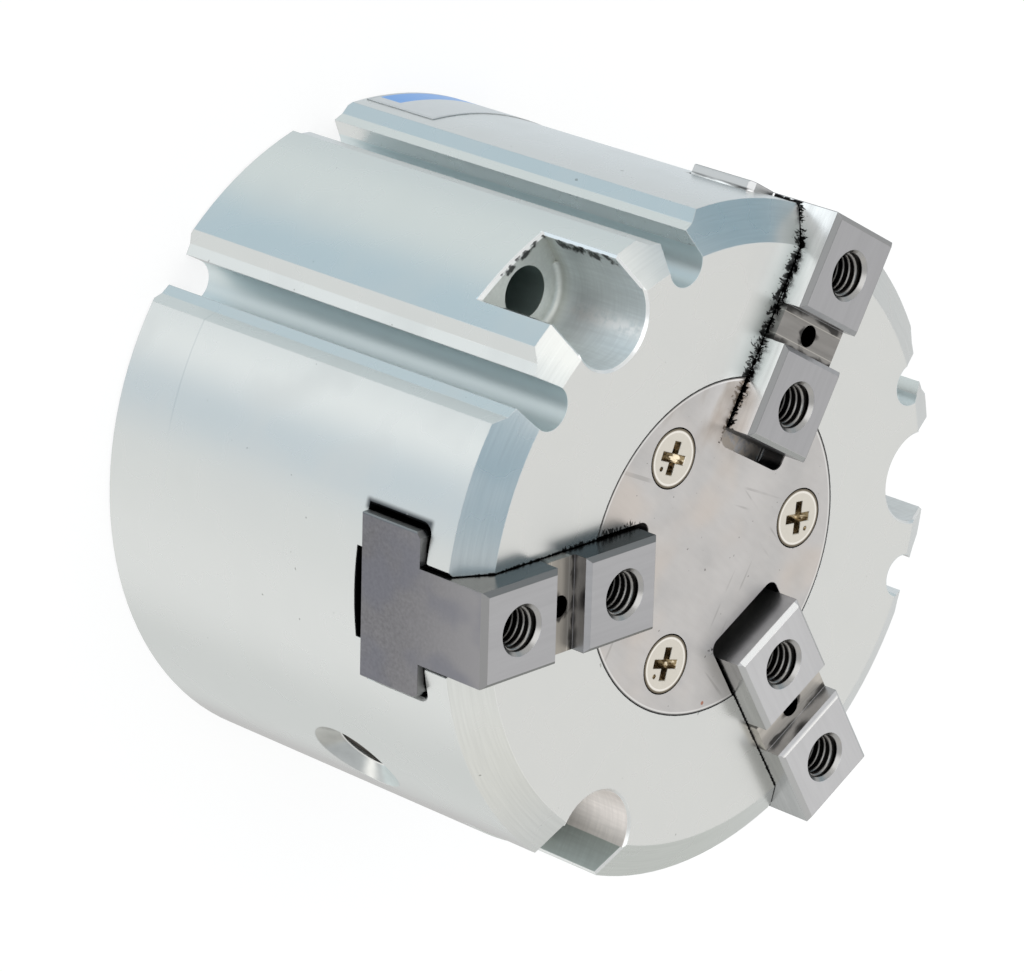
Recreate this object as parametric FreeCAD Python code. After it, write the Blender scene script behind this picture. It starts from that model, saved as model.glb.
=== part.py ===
import FreeCAD, Part
import math
import os

# Three-jaw pneumatic gripper, all lengths in millimetres.
# Z runs along the body from the mounting face (z = 0) towards the jaws.
# Each jaw, pocket, groove and port is drawn pointing along +X and turned to its place about Z.

# Housing
body_radius = 31.0
face_chamfer_radial = 3.5
face_chamfer_axial = 2.0
back_chamfer = 0.3
jaw_angles = (-30.0, -150.0, 90.0)
pocket_angles = (-90.0, 150.0, 30.0)

# Jaws
jaw_flange_half = 7.55
jaw_neck_half = 4.35
jaw_sunk = 12.3
jaw_flange_height = 7.2
jaw_proud = 2.8
jaw_inner_end = 10.0
jaw_ledge_end = 4.6
jaw_pad_chamfer = 0.4
jaw_end_chamfer = 0.45
jaw_flange_chamfer = 0.5
jaw_base_chamfer = 0.15
jaw_thread_outer_inset = 4.5
jaw_thread_inner_inset = 4.05
jaw_thread_radius = 2.0
jaw_thread_depth = 8.5
jaw_thread_mouth = 2.35
cross_slot_centre = 20.3
cross_slot_width = 3.45
cross_slot_depth = 1.75
vent_radius = 1.0
vent_depth = 4.0
guide_clearance = 0.1
side_clearance = 0.3
slot_corner_radius = 0.8
slot_lip_radius = 0.5
slot_mouth_chamfer = 0.35
relief_half = 4.2
relief_depth = 0.65

# Wedge mechanism
wedge_slope = 0.8
open_stroke = 3.75
close_stroke = 1.25
cam_height = 7.9
cam_half = 4.1
cam_face_gap = 0.15
cam_top_clearance = 0.5
cam_hub_radius = 7.2
cam_floor_clearance = 0.7
cam_side_clearance = 0.35
tongue_stem_half = 1.6
tongue_head_half = 2.9
tongue_lip = 1.6
tongue_head = 1.6
tongue_clearance = 0.1
tongue_gap = 0.12
centre_bore_radius = 8.7

# Screw pockets for mounting, open towards the side and the front
mount_inset = 3.5
mount_hole_radius = 2.4
pocket_radius = 4.25
pocket_depth = 10.55
pocket_floor_radius = 0.6
pocket_bevel = 0.3
pocket_rim_bevel = 0.25

# Sensor grooves, two beside each of the first two pockets
groove_angle = 19.8
groove_radius = 2.0
groove_depth = 3.53
groove_mouth_half = 1.57
groove_mouth_depth = 1.25
groove_step_half = 2.6
groove_step_depth = 1.0
groove_edge_half = 3.75

# Air ports, each with a countersunk mouth
port_angles = (10.0, 50.0)
close_port_rise = 2.0
open_port_rise = 1.7
port_radius = 2.5
port_depth = 5.6
port_mouth_radius = 4.75
port_mouth_depth = 1.35
passage_radius = 0.9

# Cylinder
bore_radius = 20.0
piston_clearance = 0.1
piston_height = 8.3
seal_clearance = 0.05
seal_groove_depth = 2.2
piston_land = 0.8
seal_height = 1.9
magnet_depth = 3.0
magnet_cover = 0.3
bumper_height = 1.0
bumper_gap = 0.2
bumper_inner = 13.0
bumper_outer = 16.5
rod_radius = 6.0
rod_clearance = 0.04
rod_spigot_radius = 4.0
rod_spigot_length = 5.0
rod_nose_length = 2.5
bush_wall = 1.0
bush_length = 2.5
seal_pocket_radius = 8.45
rod_seal_height = 2.2
retainer_height = 0.8
retainer_clearance = 0.4

# End cap with its seal and retaining ring
ring_inset = 1.0
cap_height = 4.9
cap_clearance = 0.05
cap_seal_place = 2.4
cap_seal_groove = 2.2
cap_seal_wire = 0.78
cap_seal_depth = 1.6
cap_hollow_radius = 7.0
cap_hollow_depth = 1.2
ring_height = 1.7
ring_groove_depth = 1.0
ring_groove_clearance = 0.05
ring_width = 3.1
ring_opening = 9.0
ring_lug_radius = 2.4
ring_lug_hole = 0.9
ring_lug_angle = 17.0

# Countersunk centre screws of the moving group
centre_screw_radius = 2.5
centre_screw_head = 4.6
centre_screw_length = 10.0
centre_screw_socket = 1.5
centre_screw_socket_depth = 1.7
thread_clearance = 0.05

# Cover plate and its screws
cover_radius = 15.4
cover_seam = 0.1
cover_thickness = 2.4
cover_slot_half = 4.6
cover_slot_end = 8.4
cover_slot_corner = 1.0
cover_screw_place = 11.1
cover_screw_radius = 1.5
cover_screw_head = 2.68
cover_screw_rim = 0.3
cover_screw_length = 8.0
cover_screw_hole_spare = 1.0
cover_screw_seam = 0.12
cover_screw_turns = (38.0, -95.5, -75.0)
recess_length = 3.1
recess_width = 0.85
recess_depth = 1.3
recess_tip_length = 1.1
recess_tip_width = 0.55
head_mark_radius = 0.22
head_mark_place = 1.62
head_mark_depth = 0.15

# Type label near the mounting face
label_start = -156.5
label_sweep = 37.0
label_bottom = 0.6
label_height = 8.7
label_gap = 0.01
label_thickness = 0.08

# Heights that follow from the sizes above, stacked up from the mounting face
ring_bottom = ring_inset
ring_top = ring_bottom + ring_height
cap_bottom = ring_top
cap_top = cap_bottom + cap_height
piston_bottom = cap_top + bumper_height + bumper_gap + close_stroke
piston_top = piston_bottom + piston_height
bore_top = piston_top + open_stroke + bumper_gap + bumper_height
seal_floor = bore_top + bush_length
chamber_floor = seal_floor + rod_seal_height + retainer_height
cam_bottom = chamber_floor + cam_floor_clearance + close_stroke
cam_top = cam_bottom + cam_height
cover_floor = cam_top + open_stroke + cam_top_clearance
body_height = cover_floor + cover_thickness
jaw_top = body_height + jaw_proud
jaw_bottom = body_height - jaw_sunk
jaw_flange_top = jaw_bottom + jaw_flange_height
ledge_top = cover_floor - 2 * guide_clearance
slot_bottom = jaw_bottom - guide_clearance
slot_top = jaw_flange_top + guide_clearance
relief_bottom = slot_bottom - relief_depth
pocket_floor = body_height - pocket_depth
port_heights = (bore_top + close_port_rise, cap_top + open_port_rise)

# Places that follow from the round outside
jaw_end = body_radius
jaw_thread_places = (jaw_end - jaw_thread_outer_inset, jaw_inner_end + jaw_thread_inner_inset)
mount_radius = body_radius - mount_inset
groove_centre = body_radius - groove_depth
groove_mouth_place = body_radius - groove_mouth_depth
groove_step_place = body_radius - groove_step_depth
slot_flange_half = jaw_flange_half + side_clearance
slot_neck_half = jaw_neck_half + guide_clearance
over = 5.0


def vec(x, y, z):
    return FreeCAD.Vector(x, y, z)


def turned(shape, angle):
    """The shape turned about Z from +X to its own angle."""
    copy = shape.copy()
    copy.rotate(vec(0, 0, 0), vec(0, 0, 1), angle)
    return copy


def disc(radius, bottom, top):
    return Part.makeCylinder(radius, top - bottom, vec(0, 0, bottom))


def ring(inner, outer, bottom, top):
    return disc(outer, bottom, top).cut(disc(inner, bottom - over, top + over))


def block(x0, x1, y0, y1, z0, z1):
    return Part.makeBox(x1 - x0, y1 - y0, z1 - z0, vec(x0, y0, z0))


def beam(x0, x1, half, z0, z1):
    """A block along X, centred on the XZ plane."""
    return block(x0, x1, -half, half, z0, z1)


def side_prism(points, half):
    """A prism from an outline in the XZ plane, spread to both sides of it."""
    outline = Part.makePolygon([vec(x, -half, z) for x, z in points + points[:1]])
    return Part.Face(outline).extrude(vec(0, 2 * half, 0))


def end_prism(points, start, end):
    """A prism along X from an outline in the YZ plane."""
    outline = Part.makePolygon([vec(start, y, z) for y, z in points + points[:1]])
    return Part.Face(outline).extrude(vec(end - start, 0, 0))


def turned_solid(points):
    """A solid of revolution about Z from an outline of radius and height."""
    outline = Part.makePolygon([vec(r, 0, z) for r, z in points + points[:1]])
    return Part.Face(outline).revolve(vec(0, 0, 0), vec(0, 0, 1), 360)


def mirrored(points):
    """An outline made of the given right half and its mirror image."""
    return points + [(-y, z) for y, z in reversed(points)]


def edges_where(shape, test):
    return [edge for edge in shape.Edges if test(edge)]


def edge_points(edge):
    return edge.discretize(5)


def wedge_face(z):
    """Distance of a jaw's inclined inner face from the centre line at rest."""
    return jaw_ledge_end + wedge_slope * (ledge_top - z)


def inclined_slab(near, far, bottom, top):
    """Outline between two lines parallel to the jaw's inclined face."""
    return [
        (wedge_face(bottom) + near, bottom),
        (wedge_face(bottom) + far, bottom),
        (wedge_face(top) + far, top),
        (wedge_face(top) + near, top),
    ]


# Slot of one jaw: a T with rounded inner corners, and a shallow relief along its floor
def jaw_slot():
    flange = beam(0, body_radius + over, slot_flange_half, slot_bottom, slot_top)
    neck = beam(0, body_radius + over, slot_neck_half, slot_top - over, body_height + over)
    tee = flange.fuse(neck).removeSplitter()

    def along(edge, y, z):
        points = edge_points(edge)
        return all(abs(abs(p.y) - y) < 1e-4 and abs(p.z - z) < 1e-4 for p in points)

    corners = edges_where(tee, lambda e: along(e, slot_flange_half, slot_top))
    tee = tee.makeFillet(slot_corner_radius, corners)
    lips = edges_where(tee, lambda e: along(e, slot_neck_half, slot_top))
    tee = tee.makeFillet(slot_lip_radius, lips)
    relief = beam(0, body_radius + over, relief_half, relief_bottom, slot_bottom + over)
    return tee.fuse(relief)


# Pocket of one mounting screw: round inside, open to the side, with a rounded floor corner
def screw_pocket():
    well = Part.makeCylinder(pocket_radius, pocket_depth + over, vec(mount_radius, 0, pocket_floor))
    floor_edge = edges_where(well, lambda e: abs(e.BoundBox.ZMax - pocket_floor) < 1e-4)
    well = well.makeFillet(pocket_floor_radius, floor_edge)
    mouth = beam(mount_radius, body_radius + over, pocket_radius, pocket_floor, body_height + over)
    hole = Part.makeCylinder(mount_hole_radius, body_height + 2 * over, vec(mount_radius, 0, -over))
    return well.fuse(mouth).fuse(hole).removeSplitter()


# Sensor groove: a round channel with a narrow mouth between two sloping lands
def sensor_groove():
    reach = math.hypot(groove_mouth_half, groove_mouth_place - groove_centre)
    lean = math.atan2(groove_mouth_place - groove_centre, groove_mouth_half)
    touch = lean - math.acos(groove_radius / reach)
    side_x = groove_centre + groove_radius * math.sin(touch)
    side_y = groove_radius * math.cos(touch)
    edge_x = math.sqrt(body_radius ** 2 - groove_edge_half ** 2)
    slope = (groove_edge_half - groove_step_half) / (edge_x - groove_step_place)
    far_x = body_radius + over
    far_y = groove_step_half + slope * (far_x - groove_step_place)
    half = [
        (far_x, far_y),
        (groove_step_place, groove_step_half),
        (groove_mouth_place, groove_mouth_half),
        (side_x, side_y),
    ]
    right = [vec(x, y, -over) for x, y in half]
    left = [vec(x, -y, -over) for x, y in reversed(half)]
    bottom = vec(groove_centre - groove_radius, 0, -over)
    edges = [Part.makeLine(a, b) for a, b in zip(right, right[1:])]
    edges.append(Part.Arc(right[-1], bottom, left[0]).toShape())
    edges += [Part.makeLine(a, b) for a, b in zip(left, left[1:])]
    edges.append(Part.makeLine(left[-1], right[0]))
    return Part.Face(Part.Wire(edges)).extrude(vec(0, 0, body_height + 2 * over))


# Air port: a threaded hole with a countersunk mouth and a drilled passage into the bore
def air_port(height, target):
    axis = vec(1, 0, 0)
    thread_end = body_radius - port_depth
    hole = Part.makeCylinder(port_radius, port_depth + over, vec(thread_end, 0, height), axis)
    slope = (port_mouth_radius - port_radius) / port_mouth_depth
    mouth = Part.makeCone(
        port_radius,
        port_mouth_radius + slope * over,
        port_mouth_depth + over,
        vec(body_radius - port_mouth_depth, 0, height),
        axis,
    )
    start = vec(thread_end + port_radius / 2, 0, height)
    finish = vec(bore_radius - passage_radius, 0, target)
    run = finish.sub(start)
    passage = Part.makeCylinder(passage_radius, run.Length, start, run)
    return hole.fuse(mouth).fuse(passage)


# Housing: a turned and milled aluminium bar, bored from the back for the piston,
# with a wall for the rod, the cam chamber above it and the recess of the cover plate
def make_body():
    body = turned_solid([
        (0, 0),
        (body_radius - back_chamfer, 0),
        (body_radius, back_chamfer),
        (body_radius, body_height - face_chamfer_axial),
        (body_radius - face_chamfer_radial, body_height),
        (0, body_height),
    ])
    body = body.cut(disc(cover_radius + cover_seam, cover_floor, body_height + over))
    body = body.cut(disc(centre_bore_radius, chamber_floor, body_height))
    body = body.cut(disc(bore_radius, -over, bore_top))
    groove_radius_out = bore_radius + ring_groove_depth
    body = body.cut(disc(groove_radius_out, ring_bottom - ring_groove_clearance, ring_top))
    body = body.cut(disc(seal_pocket_radius, seal_floor, chamber_floor))
    body = body.cut(disc(rod_radius + bush_wall, bore_top - over, seal_floor))
    chamber_reach = wedge_face(cam_bottom) + tongue_lip + tongue_gap + tongue_head + cam_side_clearance
    chamber = beam(0, chamber_reach, slot_neck_half, chamber_floor, cover_floor)
    slot = jaw_slot()
    for angle in jaw_angles:
        body = body.cut(turned(chamber, angle))
        body = body.cut(turned(slot, angle))
    pocket = screw_pocket()
    for angle in pocket_angles:
        body = body.cut(turned(pocket, angle))
    body = bevel_mouths(body)
    groove = sensor_groove()
    for angle in pocket_angles[:2]:
        for side in (-1, 1):
            body = body.cut(turned(groove, angle + side * groove_angle))
    targets = (bore_top - bumper_height, cap_top + passage_radius + bumper_gap)
    for angle, height, target in zip(port_angles, port_heights, targets):
        body = body.cut(turned(air_port(height, target), angle))
    depth = cover_screw_length + cover_screw_hole_spare
    for angle in pocket_angles:
        hole = Part.makeCylinder(
            cover_screw_radius + thread_clearance,
            depth,
            vec(cover_screw_place, 0, body_height - depth),
        )
        body = body.cut(turned(hole, angle))
    return body.removeSplitter()


# Bevel along a pocket's edge on the front face and on the sloping rim of the housing
def pocket_rim():
    rise = pocket_rim_bevel + over
    at_face = vec(mount_radius, 0, body_height - pocket_rim_bevel)
    rim = Part.makeCone(pocket_radius, pocket_radius + rise, rise, at_face)
    wall_radius = math.hypot(mount_radius, pocket_radius)
    rim_slope = face_chamfer_axial / face_chamfer_radial
    height = body_height - (wall_radius - body_radius + face_chamfer_radial) * rim_slope
    for side in (-1, 1):
        wall = side * pocket_radius
        corners = [
            vec(mount_radius, wall, height - pocket_rim_bevel),
            vec(mount_radius, wall + side * rise, height + over),
            vec(mount_radius, wall, height + over),
        ]
        outline = Part.makePolygon(corners + corners[:1])
        rim = rim.fuse(Part.Face(outline).extrude(vec(over, 0, -over * rim_slope)))
    return rim


# Bevels where the slots and pockets break through the round outside of the housing
def bevel_mouths(body):
    def on_outside(edge, lowest, angles, half):
        """Whether an edge lies on the outside, above a height and within a half width of an angle."""
        points = edge_points(edge)
        if any(abs(math.hypot(p.x, p.y) - body_radius) > 1e-3 for p in points):
            return False
        if edge.BoundBox.ZMin < lowest - 1e-3 or edge.Length > body_radius:
            return False
        place = math.degrees(math.atan2(points[2].y, points[2].x))
        reach = math.degrees(math.asin((half + 1e-3) / body_radius))
        return min(abs((place - angle + 180) % 360 - 180) for angle in angles) < reach

    pocket_edges = edges_where(
        body,
        lambda e: on_outside(e, pocket_floor, pocket_angles, pocket_radius),
    )
    body = body.makeChamfer(pocket_bevel, pocket_edges)
    slot_edges = edges_where(
        body,
        lambda e: on_outside(e, slot_bottom, jaw_angles, slot_flange_half)
        and e.BoundBox.ZMax > slot_bottom + 1e-3,
    )
    body = body.makeChamfer(slot_mouth_chamfer, slot_edges)
    rim = pocket_rim()
    for angle in pocket_angles:
        body = body.cut(turned(rim, angle))
    return body


# Jaw: one ground steel slider, the common part of its cross-section, side view and plan
def make_jaw():
    long_half = jaw_flange_half
    section = mirrored([
        (long_half - jaw_base_chamfer, jaw_bottom),
        (long_half, jaw_bottom + jaw_base_chamfer),
        (long_half, jaw_flange_top - jaw_flange_chamfer),
        (long_half - jaw_flange_chamfer, jaw_flange_top),
        (jaw_neck_half, jaw_flange_top),
        (jaw_neck_half, jaw_top - jaw_pad_chamfer),
        (jaw_neck_half - jaw_pad_chamfer, jaw_top),
    ])
    slot_near = cross_slot_centre - cross_slot_width / 2
    slot_far = cross_slot_centre + cross_slot_width / 2
    slot_floor = jaw_top - cross_slot_depth
    side = [
        (wedge_face(jaw_bottom), jaw_bottom),
        (jaw_end - jaw_base_chamfer, jaw_bottom),
        (jaw_end, jaw_bottom + jaw_base_chamfer),
        (jaw_end, jaw_top - jaw_end_chamfer),
        (jaw_end - jaw_end_chamfer, jaw_top),
        (slot_far + jaw_pad_chamfer, jaw_top),
        (slot_far, jaw_top - jaw_pad_chamfer),
        (slot_far, slot_floor),
        (slot_near, slot_floor),
        (slot_near, jaw_top - jaw_pad_chamfer),
        (slot_near - jaw_pad_chamfer, jaw_top),
        (jaw_inner_end + jaw_pad_chamfer, jaw_top),
        (jaw_inner_end, jaw_top - jaw_pad_chamfer),
        (jaw_inner_end, ledge_top),
        (wedge_face(ledge_top), ledge_top),
    ]
    jaw = end_prism(section, 0, jaw_end + over).common(side_prism(side, long_half + over))
    corner = [
        vec(jaw_end - jaw_base_chamfer, long_half, 0),
        vec(jaw_end + over, long_half - jaw_base_chamfer - over, 0),
        vec(jaw_end + over, long_half, 0),
        vec(jaw_end - jaw_base_chamfer, long_half, 0),
    ]
    cutter = Part.Face(Part.makePolygon(corner)).extrude(vec(0, 0, jaw_top))
    jaw = jaw.cut(cutter).cut(cutter.mirror(vec(0, 0, 0), vec(0, 1, 0)))
    low = jaw_bottom - over
    high = ledge_top + jaw_base_chamfer
    head_near = tongue_lip
    head_far = tongue_lip + tongue_head + 2 * tongue_gap
    stem = side_prism(inclined_slab(-over, head_far, low, high), tongue_stem_half + tongue_clearance)
    head = side_prism(inclined_slab(head_near, head_far, low, high), tongue_head_half + tongue_clearance)
    jaw = jaw.cut(stem.fuse(head))
    for place in jaw_thread_places:
        hole = Part.makeCylinder(jaw_thread_radius, jaw_thread_depth + over, vec(place, 0, jaw_top - jaw_thread_depth))
        flare = jaw_thread_mouth - jaw_thread_radius
        mouth = Part.makeCone(jaw_thread_radius, jaw_thread_mouth, flare, vec(place, 0, jaw_top - flare))
        jaw = jaw.cut(hole).cut(mouth)
    vent = Part.makeCylinder(vent_radius, vent_depth + over, vec(cross_slot_centre, 0, slot_floor - vent_depth))
    return jaw.cut(vent).removeSplitter()


# Wedge cam: a steel hub with three arms, each with an inclined T-shaped tongue in its jaw
def make_cam():
    cam = disc(cam_hub_radius, cam_bottom, cam_top)
    face = cam_face_gap
    near = tongue_lip + tongue_gap
    far = near + tongue_head
    arm_outline = [
        (0, cam_bottom),
        (wedge_face(cam_bottom) - face, cam_bottom),
        (wedge_face(cam_top) - face, cam_top),
        (0, cam_top),
    ]
    arm = side_prism(arm_outline, cam_half)
    stem = side_prism(inclined_slab(-face - cam_half, far, cam_bottom, cam_top), tongue_stem_half)
    head = side_prism(inclined_slab(near, far, cam_bottom, cam_top), tongue_head_half)
    tongue = arm.fuse(stem).fuse(head)
    for angle in jaw_angles:
        cam = cam.fuse(turned(tongue, angle))
    cam = cam.cut(disc(rod_spigot_radius, cam_bottom - over, cam_bottom + rod_nose_length))
    cam = cam.cut(disc(centre_screw_radius + thread_clearance, cam_bottom, cam_top + over))
    return cam.cut(screw_seat(cam_top)).removeSplitter()


def head_height():
    """Height of a centre screw's 90 degree head."""
    return centre_screw_head - centre_screw_radius


def screw_seat(face):
    """Countersink for a centre screw whose head lies flush with a face that looks up."""
    wide = centre_screw_head + thread_clearance
    narrow = centre_screw_radius + thread_clearance
    return Part.makeCone(narrow, wide, wide - narrow, vec(0, 0, face - (wide - narrow)))


def centre_screw(face):
    """Countersunk socket screw that hangs down from its head at the face."""
    shank = disc(centre_screw_radius, face - centre_screw_length, face - head_height() / 2)
    head = Part.makeCone(
        centre_screw_radius,
        centre_screw_head,
        head_height(),
        vec(0, 0, face - head_height()),
    )
    corner = vec(centre_screw_socket, 0, face - centre_screw_socket_depth)
    corners = [turned(Part.Vertex(corner), turn).Point for turn in range(0, 360, 60)]
    socket = Part.Face(Part.makePolygon(corners + corners[:1])).extrude(vec(0, 0, over))
    return shank.fuse(head).cut(socket).removeSplitter()


def upside_down(shape, face):
    """The shape mirrored through a level face."""
    return shape.mirror(vec(0, 0, face), vec(0, 0, 1))


# Piston rod: shoulders against the piston and the cam, threaded at both ends
def make_rod():
    rod = disc(rod_radius, piston_top, cam_bottom)
    rod = rod.fuse(disc(rod_spigot_radius, piston_top - rod_spigot_length, piston_top))
    rod = rod.fuse(disc(rod_spigot_radius, cam_bottom, cam_bottom + rod_nose_length))
    thread = centre_screw_radius + thread_clearance
    upper_end = cam_top - centre_screw_length - thread_clearance
    lower_end = piston_bottom + centre_screw_length + thread_clearance
    rod = rod.cut(disc(thread, upper_end, cam_top + over))
    return rod.cut(disc(thread, piston_bottom - over, lower_end)).removeSplitter()


# Piston: grooves for two seals with the magnet ring between them
piston_radius = bore_radius - piston_clearance
seal_inner = bore_radius - seal_groove_depth
magnet_inner = piston_radius - magnet_depth
magnet_outer = piston_radius - magnet_cover
lower_seal_bottom = piston_bottom + piston_land
upper_seal_top = piston_top - piston_land
magnet_bottom = lower_seal_bottom + seal_height + piston_land
magnet_top = upper_seal_top - seal_height - piston_land


def make_piston():
    piston = disc(piston_radius, piston_bottom, piston_top)
    for bottom in (lower_seal_bottom, upper_seal_top - seal_height):
        piston = piston.cut(ring(seal_inner, body_radius, bottom, bottom + seal_height))
    piston = piston.cut(ring(magnet_inner, body_radius, magnet_bottom, magnet_top))
    piston = piston.cut(disc(rod_spigot_radius, piston_top - rod_spigot_length, piston_top + over))
    piston = piston.cut(disc(centre_screw_radius + thread_clearance, piston_bottom - over, piston_top))
    return piston.cut(upside_down(screw_seat(piston_bottom), piston_bottom)).removeSplitter()


# End cap: a plug in the bore with one seal groove and a hollow for the piston screw
def make_cap():
    cap_radius = bore_radius - cap_clearance
    cap = disc(cap_radius, cap_bottom, cap_top)
    groove_bottom = cap_bottom + cap_seal_place - cap_seal_groove / 2
    groove = ring(bore_radius - cap_seal_depth, body_radius, groove_bottom, groove_bottom + cap_seal_groove)
    cap = cap.cut(groove)
    return cap.cut(disc(cap_hollow_radius, cap_top - cap_hollow_depth, cap_top + over))


def make_cap_seal():
    return Part.makeTorus(
        bore_radius - cap_seal_depth / 2,
        cap_seal_wire,
        vec(0, 0, cap_bottom + cap_seal_place),
    )


# Retaining ring: open on one side, with a lug and a plier hole at each end
def make_retaining_ring():
    outer = bore_radius + ring_groove_depth - ring_groove_clearance
    circlip = ring(outer - ring_width, outer, ring_bottom, ring_top)
    opening = block(0, body_radius, -ring_opening / 2, ring_opening / 2, ring_bottom - over, ring_top + over)
    circlip = circlip.cut(opening)
    lug_place = outer - ring_width
    for side in (-1, 1):
        at = vec(lug_place, 0, ring_bottom)
        lug = Part.makeCylinder(ring_lug_radius, ring_height, at)
        hole = Part.makeCylinder(ring_lug_hole, ring_height + 2 * over, at.sub(vec(0, 0, over)))
        circlip = circlip.fuse(turned(lug, side * ring_lug_angle)).cut(turned(hole, side * ring_lug_angle))
    return circlip.cut(opening).removeSplitter()


# Cover plate: round, flush with the front face, slotted for the three jaws
def make_cover():
    plate = disc(cover_radius, cover_floor, body_height)
    notch = beam(cover_slot_end, body_radius, cover_slot_half, cover_floor - over, body_height + over)
    corners = edges_where(
        notch,
        lambda e: abs(e.Length - (cover_thickness + 2 * over)) < 1e-4 and e.BoundBox.XMax < cover_slot_end + 1e-4,
    )
    notch = notch.makeFillet(cover_slot_corner, corners)
    for angle in jaw_angles:
        plate = plate.cut(turned(notch, angle))
    wide = cover_screw_head + cover_screw_seam
    narrow = cover_screw_radius + cover_screw_seam
    rim = Part.makeCylinder(wide, cover_screw_rim + over, vec(cover_screw_place, 0, body_height - cover_screw_rim))
    cone_bottom = body_height - cover_screw_rim - (wide - narrow)
    cone = Part.makeCone(narrow, wide, wide - narrow, vec(cover_screw_place, 0, cone_bottom))
    hole = Part.makeCylinder(narrow, cover_thickness + 2 * over, vec(cover_screw_place, 0, cover_floor - over))
    seat = rim.fuse(cone).fuse(hole)
    for angle in pocket_angles:
        plate = plate.cut(turned(seat, angle))
    return plate.removeSplitter()


# Cover screw: countersunk, with a tapering cross recess and one small dot between two arms
def make_cover_screw(turn):
    head_bottom = body_height - cover_screw_rim - (cover_screw_head - cover_screw_radius)
    profile = [
        (0, body_height - cover_screw_length),
        (cover_screw_radius, body_height - cover_screw_length),
        (cover_screw_radius, head_bottom),
        (cover_screw_head, body_height - cover_screw_rim),
        (cover_screw_head, body_height),
        (0, body_height),
    ]
    screw = turned_solid(profile)

    def rectangle(length, width, z):
        x = length / 2
        y = width / 2
        corners = [vec(x, y, z), vec(-x, y, z), vec(-x, -y, z), vec(x, -y, z), vec(x, y, z)]
        return Part.makePolygon(corners)

    top = rectangle(recess_length, recess_width, body_height)
    tip = rectangle(recess_tip_length, recess_tip_width, body_height - recess_depth)
    blade = Part.makeLoft([tip, top], True, True)
    screw = screw.cut(turned(blade, turn)).cut(turned(blade, turn + 90.0))
    mark_floor = vec(head_mark_place, 0, body_height - head_mark_depth)
    mark = Part.makeCylinder(head_mark_radius, head_mark_depth + over, mark_floor)
    screw = screw.cut(turned(mark, turn + 45.0))
    screw.translate(vec(cover_screw_place, 0, 0))
    return screw


# Label: a thin curved plate on the outside of the housing
def make_label():
    inner = body_radius + label_gap
    shell = ring(inner, inner + label_thickness, label_bottom, label_bottom + label_height)
    wedge = Part.makeCylinder(
        body_radius + over,
        label_height + 2 * over,
        vec(0, 0, label_bottom - over),
        vec(0, 0, 1),
        label_sweep,
    )
    return turned(shell.common(wedge), label_start)


parts = {
    "body": make_body(),
    "end_cap": make_cap(),
    "end_cap_o_ring": make_cap_seal(),
    "retaining_ring": make_retaining_ring(),
    "rod_bush": ring(rod_radius + rod_clearance, rod_radius + bush_wall, bore_top, seal_floor),
    "rod_seal": ring(rod_radius + rod_clearance, seal_pocket_radius, seal_floor, seal_floor + rod_seal_height),
    "seal_retainer": ring(
        rod_radius + retainer_clearance,
        seal_pocket_radius,
        seal_floor + rod_seal_height,
        chamber_floor,
    ),
    "upper_bumper": ring(bumper_inner, bumper_outer, bore_top - bumper_height, bore_top),
    "lower_bumper": ring(bumper_inner, bumper_outer, cap_top, cap_top + bumper_height),
    "piston": make_piston(),
    "piston_seal_lower": ring(
        seal_inner,
        bore_radius - seal_clearance,
        lower_seal_bottom,
        lower_seal_bottom + seal_height,
    ),
    "piston_seal_upper": ring(
        seal_inner,
        bore_radius - seal_clearance,
        upper_seal_top - seal_height,
        upper_seal_top,
    ),
    "piston_magnet": ring(magnet_inner, magnet_outer, magnet_bottom, magnet_top),
    "piston_rod": make_rod(),
    "piston_screw": upside_down(centre_screw(piston_bottom), piston_bottom),
    "wedge_cam": make_cam(),
    "cam_screw": centre_screw(cam_top),
    "cover_plate": make_cover(),
    "label": make_label(),
}
jaw = make_jaw()
for number, angle in enumerate(jaw_angles, 1):
    parts["jaw_%d" % number] = turned(jaw, angle)
for number, (angle, turn) in enumerate(zip(pocket_angles, cover_screw_turns), 1):
    parts["cover_screw_%d" % number] = turned(make_cover_screw(turn), angle)

os.makedirs("parts", exist_ok=True)
for name, shape in parts.items():
    shape.exportStep("parts/%s.step" % name)
    print(name, shape.isValid(), len(shape.Solids), round(shape.Volume, 2))
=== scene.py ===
import bmesh
import bpy
import math
from mathutils import Matrix, Vector


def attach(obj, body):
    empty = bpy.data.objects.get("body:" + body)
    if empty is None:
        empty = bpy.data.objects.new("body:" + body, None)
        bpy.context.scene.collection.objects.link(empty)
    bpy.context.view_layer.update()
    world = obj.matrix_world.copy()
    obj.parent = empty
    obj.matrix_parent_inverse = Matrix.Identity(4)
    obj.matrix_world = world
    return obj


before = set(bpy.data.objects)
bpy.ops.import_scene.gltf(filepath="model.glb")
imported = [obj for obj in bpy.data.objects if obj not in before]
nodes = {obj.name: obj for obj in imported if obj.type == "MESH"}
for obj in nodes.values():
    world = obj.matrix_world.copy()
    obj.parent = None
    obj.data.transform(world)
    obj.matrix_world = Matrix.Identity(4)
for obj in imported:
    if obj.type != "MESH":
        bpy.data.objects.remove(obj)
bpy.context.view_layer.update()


# Housing: one bar of aluminium, turned outside, milled for jaws, screws and sensors,
# then clear anodised, which leaves a satin skin that still shows the turning lines.
# Dirt specks it all over, and its upper edges are painted bright: partly wear, partly a painted edge
# highlight.
mm = 0.001
housing_radius = 31.0 * mm
front = 45.3 * mm
rim_foot = 43.3 * mm
rim_start = 27.5 * mm


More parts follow.
